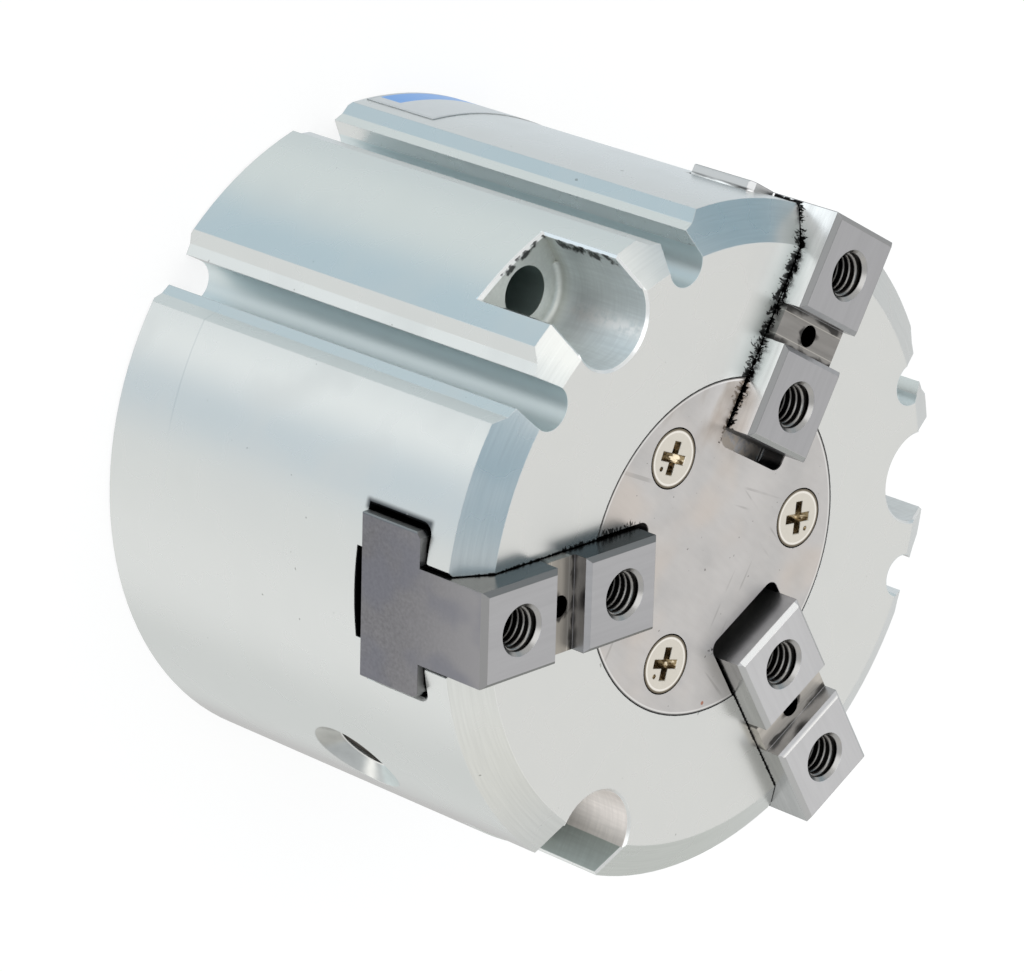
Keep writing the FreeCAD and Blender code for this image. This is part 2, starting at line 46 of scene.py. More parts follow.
def add_node(tree, kind, *feeds, **settings):
    """Adds a node and feeds its sockets in their order, by a link or with a plain value."""
    node = tree.nodes.new("ShaderNode" + kind)
    for key, value in settings.items():
        setattr(node, key, value)
    for socket, feed in zip(node.inputs, feeds):
        if isinstance(feed, bpy.types.NodeSocket):
            tree.links.new(feed, socket)
        elif feed is not None:
            socket.default_value = feed
    return node


def lay_over(tree, mask, under, over, how="MIX"):
    """One colour laid over another where the mask is 1, past the sockets for numbers and vectors."""
    skipped = [None] * 5
    lay = add_node(tree, "Mix", mask, *skipped, under, over, data_type="RGBA", blend_type=how)
    return lay.outputs[2]


class Finish:
    """A surface laid on coat by coat, with every place in object coordinates."""

    def __init__(self, name, colour, metallic, roughness):
        self.material = bpy.data.materials.new(name)
        self.material.use_nodes = True
        self.tree = self.material.node_tree
        self.shader = self.tree.nodes["Principled BSDF"]
        self.shader.inputs["Metallic"].default_value = metallic
        self.colour = (*colour, 1.0)
        self.roughness = roughness
        self.place = self.add("TexCoord").outputs["Object"]
        self.x, self.y, self.z = self.add("SeparateXYZ", self.place).outputs
        self.radius = self.slant(self.x, self.y)
        self.angle = self.calc("ARCTAN2", self.y, self.x)
        self.relief = None
        self.edge_break = 0.06 * mm
        self.directions = {}

    def add(self, kind, *feeds, **settings):
        return add_node(self.tree, kind, *feeds, **settings)

    def calc(self, operation, *feeds):
        return self.add("Math", *feeds, operation=operation).outputs[0]

    def slant(self, out, side):
        """Distance from out and side, which are square to each other."""
        return self.calc("SQRT", self.calc("ADD", self.both(out, out), self.both(side, side)))

    def rise(self, value, low, high):
        """0 at low, 1 at high, smooth between, and level past them."""
        return self.add("MapRange", value, low, high, 0.0, 1.0, interpolation_type="SMOOTHSTEP").outputs[0]

    def band(self, value, low, high, soft):
        """1 between low and high, fading over the soft width."""
        return self.both(self.rise(value, low - soft, low + soft), self.rise(value, high + soft, high - soft))

    def both(self, first, *others):
        for other in others:
            first = self.calc("MULTIPLY", first, other)
        return first

    def either(self, first, *others):
        for other in others:
            first = self.calc("MAXIMUM", first, other)
        return first

    def along(self, turn):
        """Distance from the centre line in the direction of a turn about Z."""
        if turn not in self.directions:
            part = self.calc("MULTIPLY", self.y, math.sin(math.radians(turn)))
            self.directions[turn] = self.calc("MULTIPLY_ADD", self.x, math.cos(math.radians(turn)), part)
        return self.directions[turn]

    def across(self, turn):
        return self.along(turn + 90.0)

    def reach(self, turn, place):
        """Distance from an upright axis that stands at a place along a turn."""
        return self.slant(self.calc("SUBTRACT", self.along(turn), place), self.across(turn))

    def corners(self, width):
        """1 along the sharp edges of the piece, 0 on its faces."""
        rounded = self.add("Bevel", width, samples=2).outputs[0]
        flat = self.add("NewGeometry").outputs["Normal"]
        lean = self.add("VectorMath", rounded, flat, operation="DOT_PRODUCT").outputs["Value"]
        return self.rise(lean, 0.995, 0.93)

    def noise(self, scale, detail=2.0, stretch=(1.0, 1.0, 1.0), turn=0.0, place=None, curl=0.0):
        laid = place or self.place
        if turn:
            laid = self.add("VectorRotate", laid, (0, 0, 0), (0, 0, 1), math.radians(-turn)).outputs[0]
        if stretch != (1.0, 1.0, 1.0):
            laid = self.add("Mapping", laid, None, None, stretch).outputs[0]
        grain = self.add("TexNoise", laid, None, scale, detail)
        grain.inputs["Distortion"].default_value = curl
        return grain.outputs["Fac"]

    def strings(self):
        """Curly strings that lie across the edges of the jaws, turned to the nearest of the three."""
        third = 2.0 * math.pi / 3.0
        turn = self.calc("ADD", self.angle, math.radians(30.0) + third / 2.0)
        sector = self.calc("FLOOR", self.calc("DIVIDE", turn, third))
        turn = self.calc("SUBTRACT", turn, self.calc("MULTIPLY_ADD", sector, third, third / 2.0))
        along = self.both(self.radius, self.calc("COSINE", turn))
        across = self.both(self.radius, self.calc("SINE", turn))
        height = self.calc("MULTIPLY_ADD", sector, 13.0 * mm, self.z)
        place = self.add("CombineXYZ", along, across, height).outputs[0]
        return self.noise(2300.0, 3.0, (1.0, 0.42, 0.5), place=place, curl=1.6)

    def lines(self, scale, broad=40.0):
        """Turning lines: rings on a face, hoops on the round outside."""
        sweep = self.calc("MULTIPLY", self.angle, broad / scale)
        rings = self.calc("SUBTRACT", self.radius, self.z)
        return self.noise(scale, 1.0, place=self.add("CombineXYZ", sweep, rings, 0.0).outputs[0])

    def tint(self, colour, mask):
        self.colour = lay_over(self.tree, mask, self.colour, (*colour, 1.0))

    def shade(self, amount, value, mask=None, middle=0.5, gain=1.0):
        """Lightens and darkens the colour as the value moves round its middle, on the mask if given."""
        if mask is not None:
            swing = self.both(mask, self.calc("SUBTRACT", value, middle), gain)
            value = self.calc("ADD", 0.5, swing)
        factor = self.calc("MULTIPLY_ADD", value, 2.0 * amount, 1.0 - amount)
        grey = self.add("CombineXYZ", factor, factor, factor).outputs[0]
        self.colour = lay_over(self.tree, 1.0, self.colour, grey, "MULTIPLY")

    def polish(self, roughness, mask):
        self.roughness = self.add("Mix", mask, None, self.roughness, roughness).outputs[0]

    def coat(self, colour, roughness, mask):
        self.tint(colour, mask)
        self.polish(roughness, mask)

    def carve(self, value, depth):
        """Cuts a pattern into the surface as a fine relief, its depth in metres."""
        self.relief = self.calc("MULTIPLY", value, depth)

    def cover(self, *names):
        """Links the finish up and lays it on the named pieces."""
        for name, value in (("Base Color", self.colour), ("Roughness", self.roughness)):
            if isinstance(value, bpy.types.NodeSocket):
                self.tree.links.new(value, self.shader.inputs[name])
            else:
                self.shader.inputs[name].default_value = value
        skin = self.add("Bevel", self.edge_break, samples=2).outputs[0]
        if self.relief is not None:
            bump = self.add("Bump")
            bump.inputs["Distance"].default_value = 1.0
            self.tree.links.new(self.relief, bump.inputs["Height"])
            self.tree.links.new(skin, bump.inputs["Normal"])
            skin = bump.outputs[0]
        self.tree.links.new(skin, self.shader.inputs["Normal"])
        for name in names:
            piece = nodes[name] if name in nodes else bpy.data.objects[name]
            piece.data.materials.clear()
            piece.data.materials.append(self.material)


anodised = Finish("clear_anodised_aluminium", (0.69, 0.70, 0.69), 1.0, 0.27)
anodised.edge_break = 0.09 * mm
cloud = anodised.noise(150.0, 3.0)
anodised.shade(0.03, cloud)
on_rim = anodised.both(
    anodised.band(anodised.z, rim_foot, front, 0.01 * mm),
    anodised.rise(anodised.radius, rim_start - 0.1 * mm, rim_start + 0.1 * mm),
)
anodised.shade(0.05, anodised.lines(3400.0, 5.0), on_rim, gain=1.5)
anodised.polish(0.33, anodised.rise(cloud, 0.45, 0.75))
tool_line = anodised.both(
    anodised.band(anodised.z, 7.15 * mm, 7.25 * mm, 0.12 * mm),
    anodised.band(anodised.angle, math.radians(-65.0), math.radians(-45.0), math.radians(3.0)),
)
anodised.tint((0.42, 0.46, 0.48), anodised.both(tool_line, 0.45))
patches = anodised.noise(1500.0, 3.0)
anodised.tint((1.0, 1.0, 1.0), anodised.rise(patches, 0.80, 0.84))
dirt = anodised.rise(anodised.noise(1100.0, 2.0), 0.765, 0.79)
anodised.tint((0.25, 0.26, 0.24), anodised.both(dirt, 0.6))
# Upper edges whitened: partly wear, partly a painted edge highlight.
wear_and_highlight = anodised.both(anodised.corners(0.10 * mm), anodised.rise(anodised.z, 30.0 * mm, 36.0 * mm))
anodised.tint((0.95, 0.96, 0.96), anodised.both(wear_and_highlight, 0.7))

# Sensor grooves: four round channels, milled down the side of the housing. Their walls
# show the cutter and nothing else, so they stay paler and duller than the skin.
groove_place = 27.47 * mm
groove_radius = 2.0 * mm
for turn in (-109.8, -70.2, 130.2, 169.8):
    reach = anodised.reach(turn, groove_place)
    channel = anodised.rise(reach, groove_radius + 0.06 * mm, groove_radius + 0.02 * mm)
    anodised.coat((0.70, 0.765, 0.775), 0.46, channel)

# Screw pockets: end-milled, with a coarser grain on the walls. Each pocket's walls carry painted light: their
# own tone of light and shade, a painted shade that makes the floor a darker beige, and painted highlights on
# one wall, the bevels and the sill.
# Grease is smeared on a wall and on the sill of the pocket at -90 degrees.
grease = (0.010, 0.010, 0.010)
pocket_place = 27.5 * mm
pocket_radius = 4.25 * mm
pocket_floor = 34.75 * mm
screw_hole_radius = 2.4 * mm
upright = anodised.noise(3400.0, 2.0, (1.0, 1.0, 0.08))
feed = anodised.noise(3400.0, 2.0, (0.08, 0.08, 1.0))
milled = anodised.calc("MULTIPLY", upright, feed)
# Each pocket's wall tone and inner-half tone are painted light, lit and shaded copies of one milled surface;
# shine sets how strong its painted highlights are.
for turn, lit_wall_tone, lit_inner_tone, shine in (
    (-90.0, (0.80, 0.84, 0.85), (0.80, 0.84, 0.85), 0.8),
    (30.0, (0.52, 0.57, 0.55), (0.86, 0.81, 0.78), 0.3),
    (150.0, (0.70, 0.72, 0.72), (0.70, 0.72, 0.72), 0.5),
):
    out = anodised.calc("SUBTRACT", anodised.along(turn), pocket_place)
    side = anodised.calc("ABSOLUTE", anodised.across(turn))
    inner = anodised.rise(out, 0.05 * mm, -0.05 * mm)
    reach = anodised.calc("ADD", anodised.both(out, out, inner), anodised.both(side, side))
    reach = anodised.calc("SQRT", reach)
    wall = anodised.both(
        anodised.rise(reach, pocket_radius + 0.05 * mm, pocket_radius + 0.01 * mm),
        anodised.band(anodised.z, pocket_floor - 0.2 * mm, front - 0.02 * mm, 0.01 * mm),
    )
    anodised.coat(lit_wall_tone, 0.5, wall)
    anodised.tint(lit_inner_tone, anodised.both(wall, inner))
    # Painted shade: the wall and floor darken towards the bottom of the pocket.
    low = anodised.rise(anodised.z, pocket_floor + 1.85 * mm, pocket_floor + 0.15 * mm)
    anodised.tint((0.54, 0.55, 0.51), anodised.both(wall, low, 0.85))
    anodised.shade(0.2, milled, wall, middle=0.25)
    # Painted highlight: a bright streak down one wall of the pocket.
    highlight_streak = anodised.both(
        anodised.band(anodised.across(turn), -2.9 * mm, -1.9 * mm, 0.45 * mm),
        anodised.rise(anodised.z, pocket_floor + 1.05 * mm, pocket_floor + 2.45 * mm),
        anodised.rise(patches, 0.32, 0.6),
    )
    anodised.coat((1.0, 1.0, 1.0), 0.4, anodised.both(wall, highlight_streak, shine))
    # Painted highlight on the pocket's bevels.
    bevel_highlight = anodised.both(
        anodised.band(reach, pocket_radius + 0.02 * mm, pocket_radius + 0.24 * mm, 0.01 * mm),
        anodised.rise(anodised.z, pocket_floor - 0.55 * mm, pocket_floor - 0.35 * mm),
    )
    anodised.coat((0.97, 0.98, 0.98), 0.22, anodised.both(bevel_highlight, shine))
    # Painted highlight on the pocket's sill.
    sill_highlight = anodised.both(
        anodised.rise(anodised.radius, housing_radius - 0.4 * mm, housing_radius - 0.3 * mm),
        anodised.band(anodised.z, pocket_floor - 0.33 * mm, pocket_floor + 0.05 * mm, 0.03 * mm),
        anodised.rise(side, pocket_radius + 0.15 * mm, pocket_radius + 0.05 * mm),
    )
    anodised.coat((0.97, 0.98, 0.98), 0.22, anodised.both(sill_highlight, shine))
    # Painted shade: the screw hole's wall is darker and greener than the skin.
    reach = anodised.reach(turn, pocket_place)
    hole_shade = anodised.both(
        anodised.rise(reach, screw_hole_radius + 0.06 * mm, screw_hole_radius + 0.02 * mm),
        anodised.rise(anodised.z, pocket_floor - 0.01 * mm, pocket_floor - 0.15 * mm),
    )
    anodised.coat((0.42, 0.50, 0.48), 0.5, hole_shade)


def creep(finish, pattern, fall, thick=0.75, soft=0.15):
    """1 where grease has crept to, ragged by the pattern where it thins out."""
    amount = finish.calc("ADD", fall, finish.calc("MULTIPLY_ADD", pattern, 2.4, -1.2))
    return finish.rise(amount, thick, thick + soft)


pocket_out = anodised.along(-90.0)
pocket_side = anodised.across(-90.0)
scuff = anodised.both(
    anodised.rise(pocket_side, -3.9 * mm, -4.1 * mm),
    anodised.rise(pocket_side, -4.32 * mm, -4.28 * mm),
    anodised.rise(pocket_out, 28.4 * mm, 30.0 * mm),
    anodised.band(anodised.z, 35.5 * mm, 43.4 * mm, 1.5 * mm),
)
sill_dirt = anodised.both(
    anodised.rise(pocket_out, 29.6 * mm, 30.5 * mm),
    anodised.rise(anodised.z, pocket_floor + 0.25 * mm, pocket_floor + 0.05 * mm),
    anodised.band(pocket_side, -4.26 * mm, 1.5 * mm, 0.01 * mm),
    anodised.rise(anodised.radius, housing_radius - 0.1 * mm, housing_radius - 0.2 * mm),
)
anodised.coat(grease, 0.35, anodised.both(creep(anodised, patches, scuff, 0.72, 0.55), 0.9))
anodised.coat(grease, 0.35, anodised.both(creep(anodised, patches, sill_dirt, 0.75, 0.5), 0.9))

# Jaw slots: T-shaped and milled, their walls painted near black: the grease of the slides, and painted shade
# down in the slot.
# It has crept out in curly strings over the front face, most of all beside jaw_2.
jaw_turns = {"jaw_1": -30.0, "jaw_2": -150.0, "jaw_3": 90.0}
slot_half = 7.86 * mm
neck_half = 4.45 * mm
slot_floor = 32.2 * mm
slot_ledge = 40.3 * mm
for turn in jaw_turns.values():
    side = anodised.calc("ABSOLUTE", anodised.across(turn))
    wide = anodised.both(
        anodised.rise(side, slot_half + 0.02 * mm, slot_half - 0.02 * mm),
        anodised.band(anodised.z, slot_floor, slot_ledge + 0.03 * mm, 0.02 * mm),
    )
    neck = anodised.both(
        anodised.rise(side, neck_half + 0.02 * mm, neck_half - 0.01 * mm),
        anodised.band(anodised.z, slot_ledge - 0.05 * mm, front - 0.02 * mm, 0.01 * mm),
    )
    slot_grease_and_shade = anodised.both(
        anodised.either(wide, neck),
        anodised.rise(anodised.along(turn), 0.0, 0.5 * mm),
        anodised.rise(anodised.radius, housing_radius - 0.05 * mm, housing_radius - 0.25 * mm),
    )
    # Near black on the slot walls: partly grease, partly painted shade.
    anodised.coat((0.040, 0.043, 0.046), 0.35, slot_grease_and_shade)
mottle = anodised.noise(700.0, 3.0)
smudge = anodised.both(
    anodised.band(anodised.across(-30.0), -8.45 * mm, -7.5 * mm, 0.25 * mm),
    anodised.band(anodised.z, slot_floor + 0.4 * mm, slot_ledge + 0.3 * mm, 0.3 * mm),
    anodised.rise(anodised.along(-30.0), 0.0, 1.0 * mm),
    anodised.rise(mottle, 0.22, 0.42),
)
anodised.coat((0.10, 0.11, 0.12), 0.4, anodised.both(smudge, 0.95))


def beside(finish, turn, edge, start, stop, width):
    """1 along a jaw's edge from start to stop, falling to 0 over the width away from the jaw."""
    away = finish.calc("SUBTRACT", finish.across(turn), edge)
    side = math.copysign(1.0, edge)
    fall = finish.rise(away, side * width, 0.0)
    own_side = finish.rise(away, side * -0.3 * mm, side * -0.1 * mm)
    return finish.both(fall, own_side, finish.band(finish.along(turn), start, stop, 1.5 * mm))


strings = anodised.strings()
on_face = anodised.rise(anodised.z, 42.9 * mm, 43.2 * mm)
# A greenish darkening of the face beside jaw_2: partly a grease film, partly painted shade.
grease_film_and_shade = beside(anodised, -150.0, neck_half, 14.0 * mm, 29.5 * mm, 4.2 * mm)
anodised.coat((0.28, 0.33, 0.32), 0.6, anodised.both(grease_film_and_shade, on_face, 0.6))
for turn, edge, start, stop, width, thick in (
    (-30.0, -neck_half, 8.0, 19.5, 0.7, 0.75),
    (-30.0, -neck_half, 18.0, 29.0, 0.3, 0.8),
    (-30.0, neck_half, 22.0, 29.5, 1.9, 1.02),
    (-150.0, neck_half, 12.0, 29.0, 1.9, 0.7),
    (-150.0, neck_half, 15.0, 25.0, 4.5, 1.12),
    (90.0, -neck_half, 10.0, 29.0, 0.2, 0.8),
):
    fall = beside(anodised, turn, edge, start * mm, stop * mm, width * mm)
    anodised.coat(grease, 0.3, anodised.both(creep(anodised, strings, fall, thick), on_face, 0.93))

# Air ports: their countersunk mouths are turned, with a tone of their own and painted light across them:
# a dull olive end in painted shade, a painted highlight band and a bluish lit side. A pale lip rings the
# thread, and the bore is painted nearly black as painted shade.
port_places = {"close_port": (10.0, 25.3 * mm), "open_port": (50.0, 9.3 * mm)}
port_radius = 2.5 * mm
mouth_radius = 4.75 * mm
for turn, height in port_places.values():
    above = anodised.calc("SUBTRACT", anodised.z, height)
    side = anodised.across(turn)
    spread = anodised.slant(above, side)
    sweep = anodised.calc("ARCTAN2", above, side)
    ahead = anodised.rise(anodised.along(turn), 24.0 * mm, 25.0 * mm)
    dish = anodised.both(
        anodised.rise(spread, mouth_radius + 0.05 * mm, mouth_radius + 0.01 * mm),
        anodised.rise(anodised.radius, housing_radius - 0.015 * mm, housing_radius - 0.07 * mm),
        ahead,
    )
    # The dish: a tone of its own, then painted light by its sweep round the port: a shaded olive side, a
    # painted highlight band and a bluish lit side.
    anodised.coat((0.50, 0.52, 0.52), 0.3, dish)
    anodised.tint((0.49, 0.49, 0.46), anodised.both(dish, anodised.rise(sweep, -1.3, -1.6)))
    anodised.tint((1.0, 0.99, 0.95), anodised.both(dish, anodised.band(sweep, -0.40, -0.16, 0.22)))
    anodised.tint((0.62, 0.68, 0.68), anodised.both(dish, anodised.rise(sweep, 0.0, 0.3)))
    anodised.shade(0.15, mottle, dish, gain=1.5)
    lip = anodised.band(spread, port_radius, port_radius + 0.12 * mm, 0.04 * mm)
    anodised.tint((0.78, 0.77, 0.75), anodised.both(lip, dish))
    # Painted shade: the bore is nearly black.
    bore_shade = anodised.both(
        anodised.rise(spread, port_radius + 0.05 * mm, port_radius),
        anodised.rise(anodised.along(turn), 29.45 * mm, 29.2 * mm),
        ahead,
    )
    anodised.coat((0.07, 0.06, 0.05), 0.4, bore_shade)
anodised.cover("body", "end_cap")


# Piston side of the housing: a bronze bush, a lip seal and its washer sit in the wall
# over the bore; the bore is closed by the cap, its O-ring and a phosphated spring ring.
# All the seals are of one black rubber, the bumpers at the stroke's ends of a brown one.
bronze = Finish("sintered_bronze", (0.56, 0.40, 0.20), 1.0, 0.42)
bronze.shade(0.15, bronze.noise(2600.0, 3.0))
bronze.cover("rod_bush")

rubber = Finish("black_seal_rubber", (0.018, 0.018, 0.018), 0.0, 0.5)
rubber.shade(0.3, rubber.noise(900.0, 3.0))
rubber.polish(0.3, rubber.rise(rubber.noise(300.0), 0.5, 0.7))
rubber.cover("end_cap_o_ring", "rod_seal", "piston_seal_lower", "piston_seal_upper")

bumper = Finish("brown_bumper_rubber", (0.09, 0.06, 0.045), 0.0, 0.65)
bumper.shade(0.2, bumper.noise(1200.0, 3.0))
bumper.cover("upper_bumper", "lower_bumper")

phosphate = Finish("phosphated_spring_steel", (0.07, 0.07, 0.072), 0.6, 0.55)
phosphate.shade(0.25, phosphate.noise(3000.0, 4.0))
phosphate.cover("retaining_ring")

plain_steel = Finish("plain_steel_washer", (0.50, 0.50, 0.51), 1.0, 0.35)
plain_steel.shade(0.1, plain_steel.lines(6000.0))
plain_steel.cover("seal_retainer")


# Moving group: a turned aluminium piston with two seals and a bonded magnet ring, a hard
# chromed rod, and the hardened wedge cam; two black socket screws hold them together.
turned_aluminium = Finish("turned_aluminium", (0.68, 0.69, 0.70), 1.0, 0.28)
turned_aluminium.shade(0.08, turned_aluminium.lines(4200.0))
turned_aluminium.cover("piston")

bonded = Finish("bonded_magnet", (0.05, 0.05, 0.055), 0.2, 0.6)
bonded.shade(0.35, bonded.noise(5000.0, 3.0))
bonded.cover("piston_magnet")

chrome = Finish("hard_chrome", (0.66, 0.67, 0.69), 1.0, 0.12)
chrome.shade(0.04, chrome.lines(7000.0))
chrome.cover("piston_rod")

black_oxide = Finish("black_oxide_steel", (0.035, 0.035, 0.037), 0.7, 0.4)
black_oxide.shade(0.2, black_oxide.noise(2500.0, 3.0))
black_oxide.cover("piston_screw", "cam_screw")

cam_steel = Finish("oiled_cam_steel", (0.32, 0.31, 0.30), 1.0, 0.3)
cam_steel.shade(0.2, cam_steel.noise(500.0, 4.0, (1.0, 1.0, 6.0)))
cam_steel.tint(grease, cam_steel.rise(cam_steel.noise(260.0, 4.0), 0.5, 0.62))
cam_steel.cover("wedge_cam")


# Cover plate: stainless sheet, finely brushed, let flush into the front face.
# Grease, rust and fingermarks dull it near the jaws, and its rim has a small break, painted bright as a
# painted highlight.
plate_radius = 15.4 * mm
plate_slot_half = 4.6 * mm
stainless = Finish("brushed_stainless", (0.58, 0.565, 0.56), 1.0, 0.33)
stainless.shade(0.06, stainless.noise(1700.0, 3.0, (1.0, 0.22, 1.0), 20.0))
stainless.shade(0.12, stainless.noise(170.0, 4.0))
worn_spots = stainless.rise(stainless.noise(200.0), 0.45, 0.6)
for slant in (35.0, -62.0, 8.0):
    scratch = stainless.rise(stainless.noise(1100.0, 1.0, (1.0, 0.03, 1.0), slant), 0.70, 0.73)
    stainless.tint((0.30, 0.29, 0.28), stainless.both(scratch, worn_spots, 0.4))
stainless.polish(0.42, stainless.rise(stainless.noise(220.0, 3.0), 0.45, 0.65))
fingermark = stainless.rise(stainless.noise(120.0, 2.0), 0.5, 0.7)
stainless.tint((0.68, 0.58, 0.50), stainless.both(fingermark, 0.35))
specks = stainless.rise(stainless.noise(2100.0, 2.0), 0.73, 0.77)
stainless.tint((0.12, 0.11, 0.10), stainless.both(specks, 0.7))
rust_spot = stainless.rise(stainless.reach(57.8, 14.69 * mm), 0.22 * mm, 0.14 * mm)
stainless.tint((0.40, 0.12, 0.05), stainless.both(rust_spot, 0.8))
strings = stainless.strings()
for turn, edge, start, stop, width, thick in (
    (-30.0, -plate_slot_half, 9.6, 15.2, 1.2, 0.78),
    (-150.0, plate_slot_half, 11.0, 15.4, 1.6, 0.80),
    (-150.0, plate_slot_half, 8.0, 15.4, 0.7, 0.75),
    (90.0, -plate_slot_half, 8.0, 9.2, 1.2, 0.75),
):
    fall = beside(stainless, turn, edge, start * mm, stop * mm, width * mm)
    stainless.coat(grease, 0.35, stainless.both(creep(stainless, strings, fall, thick), 0.9))
brown = beside(stainless, -150.0, plate_slot_half, 9.0 * mm, 15.4 * mm, 3.2 * mm)
stainless.tint((0.30, 0.24, 0.19), stainless.both(brown, stainless.noise(500.0, 3.0), 1.1))
smear = stainless.both(
    stainless.both(
        stainless.rise(stainless.along(-150.0), 4.0 * mm, 13.0 * mm),
        stainless.rise(stainless.across(-150.0), -1.0 * mm, 3.0 * mm),
    ),
    stainless.rise(stainless.noise(420.0, 4.0, (1.0, 0.4, 1.0), -60.0), 0.45, 0.8),
)
stainless.tint((0.36, 0.31, 0.27), smear)
# Painted highlight along the rim's small break.
edge_break = stainless.both(
    stainless.rise(stainless.radius, plate_radius - 0.3 * mm, plate_radius - 0.24 * mm),
    stainless.rise(stainless.radius, plate_radius - 0.1 * mm, plate_radius - 0.14 * mm),
)
stainless.coat((0.88, 0.88, 0.87), 0.25, stainless.both(edge_break, 0.5))
seam = stainless.rise(stainless.radius, plate_radius - 0.12 * mm, plate_radius - 0.07 * mm)
stainless.coat((0.10, 0.10, 0.10), 0.4, stainless.both(seam, 0.8))
# Near black below the plate's top face: partly grease, partly painted shade in the slots.
slot_wall_grease_and_shade = stainless.rise(stainless.z, front - 0.08 * mm, front - 0.2 * mm)
stainless.coat((0.045, 0.045, 0.047), 0.35, slot_wall_grease_and_shade)
stainless.cover("cover_plate")


# Cover screws: small countersunk screws, nickel plated, with a cross recess that has
# collected brown oil and one punched dot between two of its arms.
screw_circle = 11.1 * mm
head_radius = 2.68 * mm
nickel = Finish("nickel_plate", (0.70, 0.665, 0.60), 1.0, 0.3)
nickel.edge_break = 0.12 * mm
nickel.shade(0.04, nickel.noise(1800.0, 3.0))
reach = nickel.reach(30.0, screw_circle)
for turn in (150.0, -90.0):
    reach = nickel.calc("MINIMUM", nickel.reach(turn, screw_circle), reach)
# Painted highlight on the head's chamfered rim.
rim_highlight = nickel.band(reach, head_radius - 0.38 * mm, head_radius - 0.22 * mm, 0.03 * mm)
nickel.coat((0.86, 0.83, 0.78), 0.2, rim_highlight)
nickel.coat((0.20, 0.17, 0.13), 0.35, nickel.rise(reach, head_radius - 0.22 * mm, head_radius - 0.12 * mm))
oil = nickel.rise(nickel.z, front - 0.02 * mm, front - 0.1 * mm)
nickel.coat((0.29, 0.22, 0.125), 0.42, oil)
nickel.tint((0.07, 0.045, 0.02), nickel.both(oil, nickel.rise(nickel.noise(2400.0, 3.0), 0.45, 0.6)))
glint = nickel.rise(nickel.noise(1700.0, 2.0, (1.0, 1.0, 0.3)), 0.56, 0.64)
nickel.coat((0.88, 0.76, 0.56), 0.3, nickel.both(oil, glint, 0.85))
nickel.cover("cover_screw_1", "cover_screw_2", "cover_screw_3")


# Label: a thin foil stuck round the housing near its mounting face, with a fine grey
# border and one blue field; the rest of it is left bare.
label_start = -156.5
label_stop = -119.5
label_foot = 0.6 * mm
label_top = 9.3 * mm
foil = Finish("printed_foil", (0.66, 0.675, 0.68), 0.75, 0.32)
foil.shade(0.03, foil.noise(800.0, 2.0))
foil_turn = foil.calc("MULTIPLY", foil.angle, 180.0 / math.pi)
field = foil.both(
    foil.band(foil_turn, label_start + 6.5, label_stop - 2.5, 0.1),
    foil.band(foil.z, label_foot + 0.4 * mm, label_foot + 3.0 * mm, 0.03 * mm),
)
foil.tint((0.14, 0.39, 0.84), field)
inside = foil.both(
    foil.band(foil_turn, label_start + 0.6, label_stop - 0.45, 0.08),
    foil.band(foil.z, label_foot + 0.3 * mm, label_top - 0.25 * mm, 0.03 * mm),
)
outline = foil.both(
    foil.band(foil_turn, label_start + 0.3, label_stop - 0.3, 0.08),
    foil.band(foil.z, label_foot + 0.15 * mm, label_top - 0.15 * mm, 0.03 * mm),
)
foil.tint((0.50, 0.52, 0.53), foil.both(outline, foil.calc("SUBTRACT", 1.0, inside)))
foil.cover("label")


# Jaws: hardened tool steel, ground on every side; the tops show lengthwise grinding,
# the sliding flanks are polished by use and wet with black grease. Each jaw has its own
# mix of faces: its lit and shaded tones are painted light, part of the dark oil on its flanks
# is painted shade, and the grease and stains are its own.
jaw_top = 48.1 * mm
jaw_half = 4.35 * mm
jaw_inner_end = 10.0 * mm
cross_slot = 20.3 * mm
cross_floor = 46.35 * mm
thread_places = {"outer": 26.5 * mm, "inner": 14.05 * mm}
# Per-jaw tones of the same steel are painted light: lit and shaded copies of the tops, flanks, chamfers,
# heads and slot floors; jaw_3's inner chamfer is a painted highlight.
lit_tops = {"jaw_1": 0.42, "jaw_2": 0.40, "jaw_3": 0.56}
lit_flanks = {"jaw_1": 0.68, "jaw_2": 0.90, "jaw_3": 0.68}
outer_oil_and_shade = {"jaw_1": 0.88, "jaw_2": 0.0, "jaw_3": 0.5}
inner_oil_and_shade = {"jaw_1": 0.97, "jaw_2": 0.0, "jaw_3": 0.35}
lit_long_edges = {"jaw_1": 0.24, "jaw_2": 0.24, "jaw_3": 0.52}
lit_inner_edges = {"jaw_1": 0.40, "jaw_2": 0.45, "jaw_3": 0.97}
lit_heads = {"jaw_1": 0.30, "jaw_2": 0.66, "jaw_3": 0.45}
lit_floors = {"jaw_1": (0.36, 0.335, 0.30), "jaw_2": (0.28, 0.27, 0.26), "jaw_3": (0.52, 0.49, 0.45)}
grease_climb = {"jaw_1": 0.5 * mm, "jaw_2": 1.5 * mm, "jaw_3": 0.1 * mm}
grease_sink = {"jaw_1": 0.0, "jaw_2": 0.0, "jaw_3": 0.25 * mm}
rim_slope = (front - rim_foot) / (housing_radius - rim_start)
